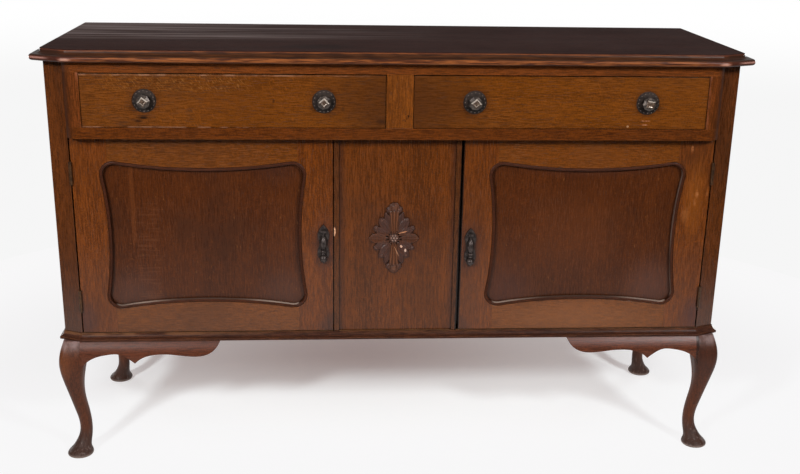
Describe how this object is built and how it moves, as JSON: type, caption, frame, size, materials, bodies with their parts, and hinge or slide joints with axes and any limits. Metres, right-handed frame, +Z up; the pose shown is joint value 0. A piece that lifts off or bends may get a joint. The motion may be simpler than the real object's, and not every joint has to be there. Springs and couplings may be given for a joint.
{
  "type": "oak sideboard with cabriole legs",
  "caption": "Antique oak sideboard on cabriole legs, with forward-standing drawers, two cupboard doors with bow-sided beaded panels, a carved centre panel and drop pulls.",
  "frame": {"origin": "on the floor, under the middle of the top's outline", "axes": "+X to the right seen from the front, +Y to the back, +Z up; the front faces -Y"},
  "size_m": [1.524, 0.49, 0.935],
  "materials": {
    "top_oak": "dark stained oak, polished and worn lighter on the edges",
    "case_oak": "reddish-brown stained oak, polished",
    "golden_oak": "golden-brown oak, polished, dirt in the corners",
    "panel_oak": "reddish oak with upright grain, polished",
    "leg_oak": "dark reddish stained wood, polished, feet worn",
    "inside_wood": "plain unpolished wood inside and at the back",
    "bronzed_brass": "dark bronzed brass, worn bright on the high places",
    "lacquered_brass": "old brass",
    "lock_steel": "dull steel"
  },
  "bodies": {
    "case": {"back_frame": "inside_wood", "back_panels": "inside_wood", "base_moulding": "case_oak", "carved_patera": "case_oak", "case_bottom": "inside_wood", "centre_panel": "panel_oak", "centre_partition": "inside_wood", "centre_stiles": "case_oak", "drawer_end_stiles": "case_oak", "drawer_guides": "inside_wood", "drawer_kickers": "inside_wood", "drawer_muntin": "case_oak", "drawer_runners": "inside_wood", "drawer_stops": "inside_wood", "front_brackets": "leg_oak", "front_left_leg": "leg_oak", "front_right_leg": "leg_oak", "hinge_case_leaves": "lacquered_brass", "hinge_pins": "lacquered_brass", "left_corner_post": "case_oak", "lower_drawer_rail": "case_oak", "rear_left_leg": "leg_oak", "rear_posts": "case_oak", "rear_right_leg": "leg_oak", "right_corner_post": "case_oak", "shelf_battens": "inside_wood", "shelves": "inside_wood", "side_brackets": "leg_oak", "side_panels": "case_oak", "side_rails": "case_oak", "top_board": "top_oak", "upper_drawer_rail": "case_oak"},
    "left_door": {"left_door_stiles": "golden_oak", "left_door_rails": "golden_oak", "left_door_panel": "panel_oak", "left_door_bead": "case_oak", "left_hinge_leaves": "lacquered_brass", "left_lock_case": "lock_steel", "left_pull_plate": "bronzed_brass"},
    "left_drawer": {"left_drawer_front": "golden_oak", "left_drawer_box": "inside_wood", "left_drawer_bottom": "inside_wood", "left_knob_plates": "bronzed_brass", "left_knobs": "bronzed_brass"},
    "left_lock_bolt_body": {"left_lock_bolt": "lock_steel"},
    "left_pull_body": {"left_pull_drop": "bronzed_brass"},
    "right_door": {"right_door_stiles": "golden_oak", "right_door_rails": "golden_oak", "right_door_panel": "panel_oak", "right_door_bead": "case_oak", "right_hinge_leaves": "lacquered_brass", "right_lock_case": "lock_steel", "right_pull_plate": "bronzed_brass"},
    "right_drawer": {"right_drawer_front": "golden_oak", "right_drawer_box": "inside_wood", "right_drawer_bottom": "inside_wood", "right_knob_plates": "bronzed_brass", "right_knobs": "bronzed_brass"},
    "right_lock_bolt_body": {"right_lock_bolt": "lock_steel"},
    "right_pull_body": {"right_pull_drop": "bronzed_brass"}
  },
  "joints": [
    {"name": "left_door_hinge", "type": "hinge", "parent": "case", "child": "left_door", "pos_m": [-0.6975, -0.1985, 0.52325], "axis": [0, 0, -1], "range_deg": [0, 110]},
    {"name": "left_drawer_slide", "type": "slide", "parent": "case", "child": "left_drawer", "axis": [0, -1, 0], "range_m": [0, 0.3]},
    {"name": "left_lock_bolt_slide", "type": "slide", "parent": "left_door", "child": "left_lock_bolt_body", "axis": [1, 0, 0], "range_m": [0, 0.0095]},
    {"name": "left_pull_swing", "type": "hinge", "parent": "left_door", "child": "left_pull_body", "pos_m": [-0.162, -0.2022, 0.538], "axis": [-1, 0, 0], "range_deg": [0, 85]},
    {"name": "right_door_hinge", "type": "hinge", "parent": "case", "child": "right_door", "pos_m": [0.6975, -0.1985, 0.52325], "axis": [0, 0, 1], "range_deg": [0, 110]},
    {"name": "right_drawer_slide", "type": "slide", "parent": "case", "child": "right_drawer", "axis": [0, -1, 0], "range_m": [0, 0.3]},
    {"name": "right_lock_bolt_slide", "type": "slide", "parent": "right_door", "child": "right_lock_bolt_body", "axis": [-1, 0, 0], "range_m": [0, 0.012]},
    {"name": "right_pull_swing", "type": "hinge", "parent": "right_door", "child": "right_pull_body", "pos_m": [0.1645, -0.2022, 0.529], "axis": [-1, 0, 0], "range_deg": [0, 85]}
  ]
}
